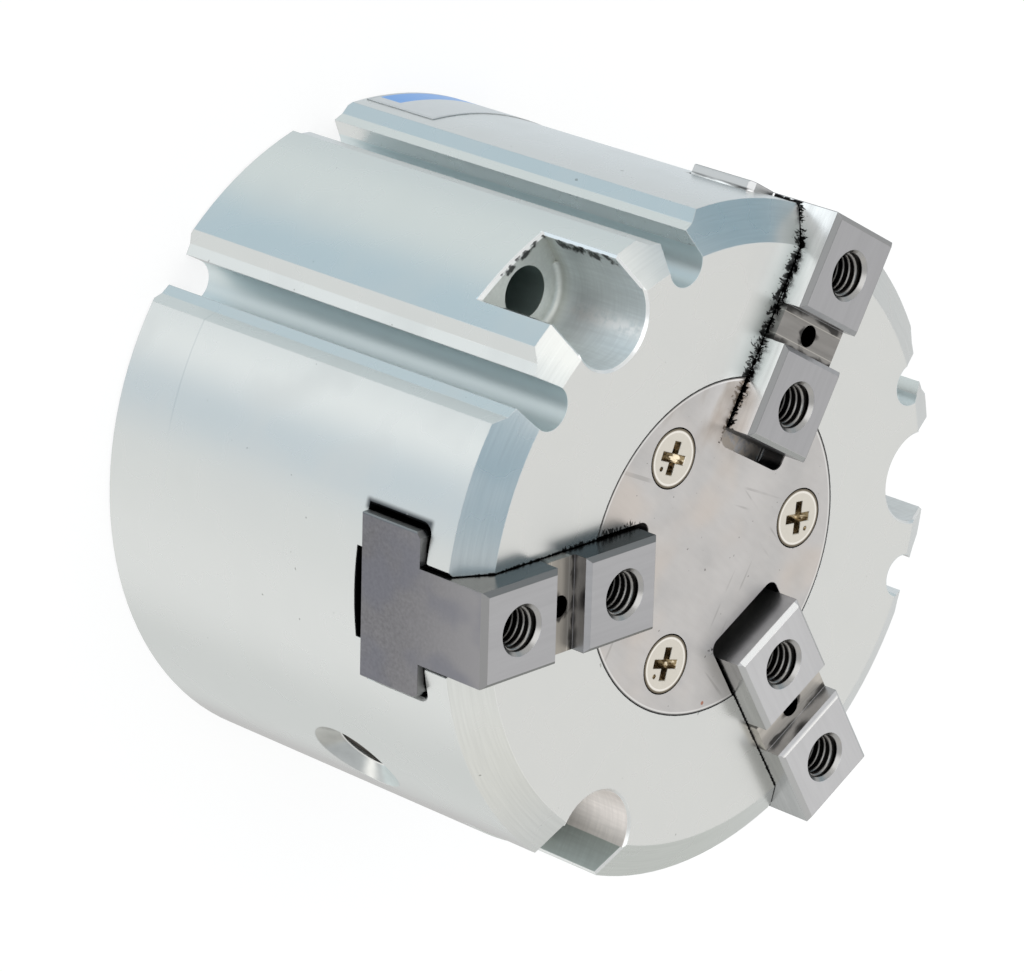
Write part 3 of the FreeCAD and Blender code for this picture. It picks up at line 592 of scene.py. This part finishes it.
for name, turn in jaw_turns.items():
    ground = Finish(name + "_ground_steel", (lit_tops[name], lit_tops[name], lit_tops[name] + 0.015), 1.0, 0.30)
    grain = ground.noise(1700.0, 3.0, (0.07, 1.0, 0.3), turn)
    ground.shade(0.10, grain)
    along = ground.along(turn)
    across = ground.calc("ABSOLUTE", ground.across(turn))

    end = ground.rise(along, housing_radius - 0.5 * mm, housing_radius - 0.4 * mm)
    ground.coat((0.20, 0.195, 0.205), 0.42, end)
    ground.shade(0.16, ground.noise(3200.0, 3.0), end, gain=2.2)
    ground.shade(0.16, ground.noise(110.0, 2.0), end, middle=0.45, gain=1.2)
    # Painted light: the end face grows lighter towards the top.
    ground.tint((0.33, 0.32, 0.33), ground.both(end, ground.rise(ground.z, 34.0 * mm, 50.0 * mm)))
    blued = ground.rise(ground.noise(190.0, 2.0), 0.42, 0.66)
    ground.tint((0.18, 0.185, 0.225), ground.both(end, blued, 0.5))

    flank = ground.both(
        ground.rise(across, jaw_half - 0.05 * mm, jaw_half - 0.01 * mm),
        ground.rise(along, housing_radius - 0.03 * mm, housing_radius - 0.07 * mm),
    )
    ground.coat((lit_flanks[name], lit_flanks[name], lit_flanks[name]), 0.24, flank)
    outwards = ground.rise(along, cross_slot - 0.7 * mm, cross_slot + 0.7 * mm)
    # Dark flanks: partly oil, partly painted shade, strongest on jaw_1.
    ground.tint((0.12, 0.125, 0.12), ground.both(flank, outer_oil_and_shade[name], outwards))
    inwards = ground.rise(along, cross_slot + 0.7 * mm, cross_slot - 0.7 * mm)
    ground.tint((0.06, 0.062, 0.06), ground.both(flank, inner_oil_and_shade[name], inwards))
    ground.shade(0.25, ground.noise(1500.0, 3.0, (0.10, 1.0, 1.0), turn), flank)

    slope = ground.calc("ADD", across, ground.z)
    chamfer = ground.rise(slope, jaw_half + jaw_top - 0.45 * mm, jaw_half + jaw_top - 0.42 * mm)
    ground.coat((lit_long_edges[name], lit_long_edges[name], lit_long_edges[name]), 0.4, chamfer)
    slope = ground.calc("ADD", along, ground.z)
    chamfer = ground.rise(slope, housing_radius + jaw_top - 0.5 * mm, housing_radius + jaw_top - 0.47 * mm)
    ground.coat((0.34, 0.335, 0.335), 0.35, chamfer)
    slope = ground.calc("SUBTRACT", ground.z, along)
    chamfer = ground.both(
        ground.rise(slope, jaw_top - jaw_inner_end - 0.45 * mm, jaw_top - jaw_inner_end - 0.42 * mm),
        ground.rise(across, jaw_half - 0.35 * mm, jaw_half - 0.38 * mm),
    )
    ground.coat((lit_inner_edges[name], lit_inner_edges[name], lit_inner_edges[name]), 0.22, chamfer)

    in_cross_slot = ground.both(
        ground.band(ground.z, 44.0 * mm, cross_floor + 0.07 * mm, 0.02 * mm),
        ground.band(along, cross_slot - 1.7 * mm, cross_slot + 1.7 * mm, 0.02 * mm),
    )
    ground.coat(lit_floors[name], 0.35, in_cross_slot)
    ground.shade(0.25, ground.noise(1600.0, 3.0, (1.0, 0.12, 1.0), turn), in_cross_slot)
    off_middle = ground.calc("ABSOLUTE", ground.calc("SUBTRACT", along, cross_slot))
    in_corner = ground.both(in_cross_slot, ground.rise(off_middle, 0.6 * mm, 1.75 * mm))
    round_vent = ground.rise(ground.reach(turn, cross_slot), 2.4 * mm, 0.8 * mm)
    smear = ground.noise(620.0, 4.0, (1.0, 0.6, 1.0), turn, curl=0.8)
    smear = ground.calc("MULTIPLY_ADD", smear, 2.6, -1.3)
    dirtiest = ground.either(in_corner, ground.both(round_vent, in_cross_slot, 0.75))
    smear = ground.rise(ground.calc("ADD", dirtiest, smear), 0.50, 1.0)
    ground.coat(grease, 0.3, ground.both(smear, in_cross_slot, 0.85))
    bright_line = ground.band(off_middle, 1.05 * mm, 1.12 * mm, 0.03 * mm)
    ground.tint((0.62, 0.60, 0.55), ground.both(in_cross_slot, bright_line, 0.6))
    if name == "jaw_3":
        # A bright spot on jaw_3's top edge: partly a burnished wear spot, partly a painted highlight.
        burnished_highlight = ground.both(
            ground.band(along, 22.02 * mm, 22.45 * mm, 0.02 * mm),
            ground.rise(ground.z, jaw_top - 0.2 * mm, jaw_top - 0.05 * mm),
            ground.rise(across, jaw_half - 0.15 * mm, jaw_half - 0.25 * mm),
        )
        ground.coat((0.97, 0.96, 0.95), 0.22, burnished_highlight)

    for place in thread_places.values():
        reach = ground.reach(turn, place)
        mouth = ground.both(
            ground.rise(reach, 2.38 * mm, 2.34 * mm),
            ground.rise(ground.z, jaw_top - 0.01 * mm, jaw_top - 0.03 * mm),
        )
        ground.coat((0.42, 0.41, 0.40), 0.24, mouth)
        # Painted shade: the tapped hole is near black below its mouth.
        tapped_shade = ground.both(
            ground.rise(reach, 2.1 * mm, 2.02 * mm),
            ground.rise(ground.z, jaw_top - 0.3 * mm, jaw_top - 0.4 * mm),
        )
        ground.coat((0.02, 0.018, 0.016), 0.25, tapped_shade)
    # Painted shade: the vent hole is black.
    vent_shade = ground.both(
        ground.rise(ground.reach(turn, cross_slot), 1.05 * mm, 1.0 * mm),
        ground.rise(ground.z, cross_floor - 0.01 * mm, cross_floor - 0.15 * mm),
    )
    ground.coat((0.01, 0.01, 0.01), 0.3, vent_shade)

    rim_height = ground.calc("MULTIPLY_ADD", ground.radius, -rim_slope, front + rim_start * rim_slope)
    above = ground.calc("SUBTRACT", ground.z, ground.calc("MINIMUM", rim_height, front))
    on_neck = ground.rise(ground.z, slot_ledge - 0.1 * mm, slot_ledge + 0.1 * mm)
    # The jaw's neck below the face line is painted black: partly grease, partly painted shade in the slot.
    guide_grease_and_shade = ground.both(
        ground.rise(above, 0.1 * mm - grease_sink[name], -0.02 * mm - grease_sink[name]),
        on_neck,
    )
    in_slot = ground.band(along, jaw_inner_end + 0.05 * mm, housing_radius - 0.15 * mm, 0.02 * mm)
    ground.coat(grease, 0.3, ground.both(guide_grease_and_shade, in_slot))
    inner_end = ground.both(
        ground.rise(along, jaw_inner_end + 0.06 * mm, jaw_inner_end + 0.02 * mm),
        ground.rise(ground.z, 42.9 * mm, 43.1 * mm),
    )
    shadow = ground.rise(ground.z, 46.9 * mm, 44.8 * mm)
    ground.coat((0.16, 0.16, 0.16), 0.4, ground.both(inner_end, shadow))
    head = ground.rise(across, jaw_half + 0.15 * mm, jaw_half + 0.25 * mm)
    lead_in = ground.band(along, housing_radius - 0.85 * mm, housing_radius - 0.06 * mm, 0.02 * mm)
    ground.coat((lit_heads[name], lit_heads[name], lit_heads[name]), 0.4, ground.both(head, lead_in))
    runner = ground.both(head, ground.rise(along, housing_radius - 0.65 * mm, housing_radius - 0.85 * mm))
    streaks = ground.rise(ground.noise(900.0, 4.0, (1.0, 1.0, 0.12), turn), 0.40, 0.52)
    ground.coat(grease, 0.25, ground.both(runner, streaks, 0.9))
    climb = ground.both(ground.rise(above, grease_climb[name], -0.1 * mm), flank, on_neck)
    ground.coat(grease, 0.22, creep(ground, ground.strings(), climb, 0.72))
    # Painted highlight: a tan glint along the jaw's lower inner corner, patchy like wear.
    inner_glint_line = ground.both(
        ground.band(ground.z, 42.6 * mm, 42.8 * mm, 0.05 * mm),
        ground.rise(along, jaw_inner_end + 0.1 * mm, jaw_inner_end - 0.1 * mm),
    )
    wear_and_highlight = ground.rise(ground.noise(1300.0, 4.0), 0.36, 0.6)
    ground.coat((0.62, 0.56, 0.50), 0.45, ground.both(inner_glint_line, wear_and_highlight))
    ground.carve(grain, 0.0015 * mm)
    ground.cover(name)


# Threads of the jaws: M4 cut into each jaw, its flanks bright near the mouth and painted darker
# further down, as painted shade deeper in the hole. The tapped wall is the jaw's own; these are the crests
# that stand in it.
def tapped_thread(name, wall, crest, pitch, turns):
    """A helical crest round +Z that starts at the origin and runs down."""
    per_turn = 28
    thread = bmesh.new()
    profile = ((wall, 0.06), (crest, 0.37), (crest, 0.63), (wall, 0.94))
    corners = [thread.verts.new((radius, 0.0, -down * pitch)) for radius, down in profile]
    for a, b in zip(corners, corners[1:] + corners[:1]):
        thread.edges.new((a, b))
    bmesh.ops.spin(
        thread,
        geom=thread.verts[:] + thread.edges[:],
        cent=(0, 0, 0),
        axis=(0, 0, 1),
        dvec=(0, 0, -pitch / per_turn),
        angle=2 * math.pi * turns,
        steps=per_turn * turns,
        use_merge=False,
    )
    bmesh.ops.holes_fill(thread, edges=thread.edges[:], sides=4)
    bmesh.ops.recalc_face_normals(thread, faces=thread.faces[:])
    for corner in thread.verts:
        run_out = min(1.0, -corner.co.z / pitch)
        reach = corner.co.xy.length
        corner.co.xy *= (wall + (reach - wall) * run_out) / reach
    mesh = bpy.data.meshes.new(name)
    thread.to_mesh(mesh)
    thread.free()
    piece = bpy.data.objects.new(name, mesh)
    bpy.context.scene.collection.objects.link(piece)
    for face in mesh.polygons:
        face.use_smooth = True
    return piece


first_cut = -57.0
for name, turn in jaw_turns.items():
    for where, place in thread_places.items():
        thread = tapped_thread(f"{name}_{where}_thread", 2.02 * mm, 1.68 * mm, 0.7 * mm, 11)
        spot = Matrix.Rotation(math.radians(turn), 4, "Z")
        spot = spot @ Matrix.Translation((place, 0, jaw_top - 0.25 * mm))
        spot = spot @ Matrix.Rotation(math.radians(first_cut - turn), 4, "Z")
        thread.data.transform(spot)
        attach(thread, name)
        cut = Finish(f"{name}_{where}_thread_steel", (0.29, 0.28, 0.27), 1.0, 0.3)
        cut.edge_break = 0.05 * mm
        cut.shade(0.3, cut.noise(1500.0, 3.0))
        # Painted shade: the crests darken deeper in the hole.
        cut.coat((0.03, 0.028, 0.026), 0.25, cut.rise(cut.z, 47.2 * mm, 44.2 * mm))
        cut.cover(thread.name)


# Threads of the air ports: M5 behind the countersunk mouths, cut straight into the
# housing, so they are of its aluminium, painted dark as painted shade inside the bore.
thread_start = 29.6 * mm
for port, (turn, height) in port_places.items():
    thread = tapped_thread(port + "_thread", 2.52 * mm, 2.12 * mm, 0.8 * mm, 4)
    spot = Matrix.Translation((0, 0, height)) @ Matrix.Rotation(math.radians(turn), 4, "Z")
    spot = spot @ Matrix.Rotation(math.radians(90.0), 4, "Y") @ Matrix.Translation((0, 0, thread_start))
    thread.data.transform(spot)
    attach(thread, "housing")
    # Painted shade: the thread inside the bore is near black.
    cut = Finish(port + "_thread_aluminium", (0.12, 0.11, 0.10), 1.0, 0.35)
    cut.shade(0.1, cut.noise(1500.0))
    cut.cover(thread.name)


# Studio floor: a white sheet that keeps a soft shadow. The camera sees it as glowing
# paper, everything else as plain white, and the metal doesn't mirror it.
floor_mesh = bpy.data.meshes.new("studio_floor")
sheet = bmesh.new()
bmesh.ops.create_grid(sheet, x_segments=1, y_segments=1, size=3.0)
sheet.to_mesh(floor_mesh)
sheet.free()
floor = bpy.data.objects.new("studio_floor", floor_mesh)
bpy.context.scene.collection.objects.link(floor)
floor.visible_glossy = False
paper = bpy.data.materials.new("white_floor")
paper.use_nodes = True
tree = paper.node_tree
tree.nodes.remove(tree.nodes["Principled BSDF"])
camera_ray = add_node(tree, "LightPath").outputs["Is Camera Ray"]
plain = add_node(tree, "BsdfDiffuse", (0.8, 0.8, 0.8, 1.0)).outputs[0]
matt = add_node(tree, "BsdfDiffuse", (0.25, 0.25, 0.25, 1.0)).outputs[0]
glow = add_node(tree, "Emission", None, 0.80).outputs[0]
seen = add_node(tree, "AddShader", matt, glow).outputs[0]
surface = add_node(tree, "MixShader", camera_ray, plain, seen).outputs[0]
tree.links.new(surface, tree.nodes["Material Output"].inputs["Surface"])
floor_mesh.materials.append(paper)


# Studio room: white, with grey and blue cards that the satin metal mirrors as broad soft
# bands. Each card has its azimuth, its height and the angles where it is full and where
# it ends. Rays up and rays down read only the cards on their own side of the parting.
world = bpy.data.worlds.new("studio")
bpy.context.scene.world = world
world.use_nodes = True
tree = world.node_tree
tree.nodes.remove(tree.nodes["Background"])
room = (0.77, 0.78, 0.78, 1.0)
parting = -7.0
cards = (
    (150.0, -41.0, 10.0, 32.0, (0.83, 0.89, 0.93)),
    (20.0, -41.0, 12.0, 34.0, (1.04, 1.05, 1.04)),
    (70.0, -41.0, 10.0, 30.0, (0.84, 0.86, 0.85)),
    (120.0, 41.0, 8.0, 26.0, (0.98, 0.97, 0.95)),
    (-63.0, 41.0, 16.0, 36.0, (1.60, 1.61, 1.61)),
    (55.0, 44.0, 6.0, 26.0, (0.94, 0.93, 0.88)),
    (-140.0, 66.0, 6.0, 24.0, (1.73, 1.70, 1.63)),
    (-60.0, 80.0, 5.0, 22.0, (0.27, 0.43, 0.54)),
    (176.0, 34.0, 8.0, 25.0, (0.30, 0.45, 0.54)),
    (98.0, 6.0, 8.0, 28.0, (0.69, 0.71, 0.68)),
    (-104.0, -41.0, 6.0, 20.0, (0.59, 0.78, 0.89)),
    (-151.0, -41.0, 6.0, 18.0, (0.76, 0.85, 0.88)),
    (-130.0, -41.0, 5.0, 16.0, (0.94, 1.02, 1.02)),
    (108.0, -41.0, 5.0, 16.0, (0.59, 0.57, 0.57)),
    (-22.0, -41.0, 6.0, 20.0, (0.99, 1.01, 1.00)),
    (-43.0, -41.0, 3.0, 14.0, (0.74, 0.87, 0.96)),
    (-63.0, -41.0, 3.0, 13.0, (1.36, 1.41, 1.41)),
    (-82.0, -41.0, 3.0, 14.0, (0.73, 0.84, 0.90)),
    (42.0, 55.0, 4.0, 14.0, (1.02, 1.02, 0.99)),
)
gaze = add_node(tree, "TexCoord").outputs["Generated"]
halves = []
for side in (-1.0, 1.0):
    light = room
    for azimuth, height, full, ends, colour in cards:
        if ends + side * (height - parting) <= 0.0:
            continue
        turn = math.radians(azimuth)
        level = math.cos(math.radians(height))
        aim = (math.cos(turn) * level, math.sin(turn) * level, math.sin(math.radians(height)))
        near = add_node(tree, "VectorMath", gaze, aim, operation="DOT_PRODUCT").outputs["Value"]
        span = (math.cos(math.radians(ends)), math.cos(math.radians(full)), 0.0, 1.0)
        spread = add_node(tree, "MapRange", near, *span, interpolation_type="SMOOTHSTEP").outputs[0]
        light = lay_over(tree, spread, light, (*colour, 1.0))
    halves.append(add_node(tree, "Background", light).outputs[0])
up_part = add_node(tree, "SeparateXYZ", gaze).outputs["Z"]
raised = add_node(tree, "Math", up_part, math.sin(math.radians(parting)), operation="GREATER_THAN").outputs[0]
mirrored = add_node(tree, "MixShader", raised, *halves).outputs[0]
camera_ray = add_node(tree, "LightPath").outputs["Is Camera Ray"]
backdrop = add_node(tree, "Background", (1.0, 1.0, 1.0, 1.0)).outputs[0]
surface = add_node(tree, "MixShader", camera_ray, mirrored, backdrop).outputs[0]
tree.links.new(surface, tree.nodes["World Output"].inputs["Surface"])


# Camera: the photograph's own viewpoint, a long lens held with a roll. The three
# directions were fitted to the housing's circles and to the jaws.
photo_lens = bpy.data.cameras.new("photo_camera")
photo_lens.sensor_width = 36.0
photo_lens.lens = 179.88
photo_lens.clip_start = 0.02
photo_camera = bpy.data.objects.new("photo_camera", photo_lens)
bpy.context.scene.collection.objects.link(photo_camera)
right = Vector((-0.626208, 0.331433, 0.705705))
up = Vector((-0.665679, -0.698490, -0.262643))
back = Vector((0.405876, -0.634240, 0.658026))
stand = Vector((189.95, -294.74, 327.26)) * mm
photo_camera.matrix_world = Matrix.Translation(stand) @ Matrix((right, up, back)).transposed().to_4x4()
bpy.context.scene.camera = photo_camera
bpy.context.scene.view_settings.view_transform = "Standard"
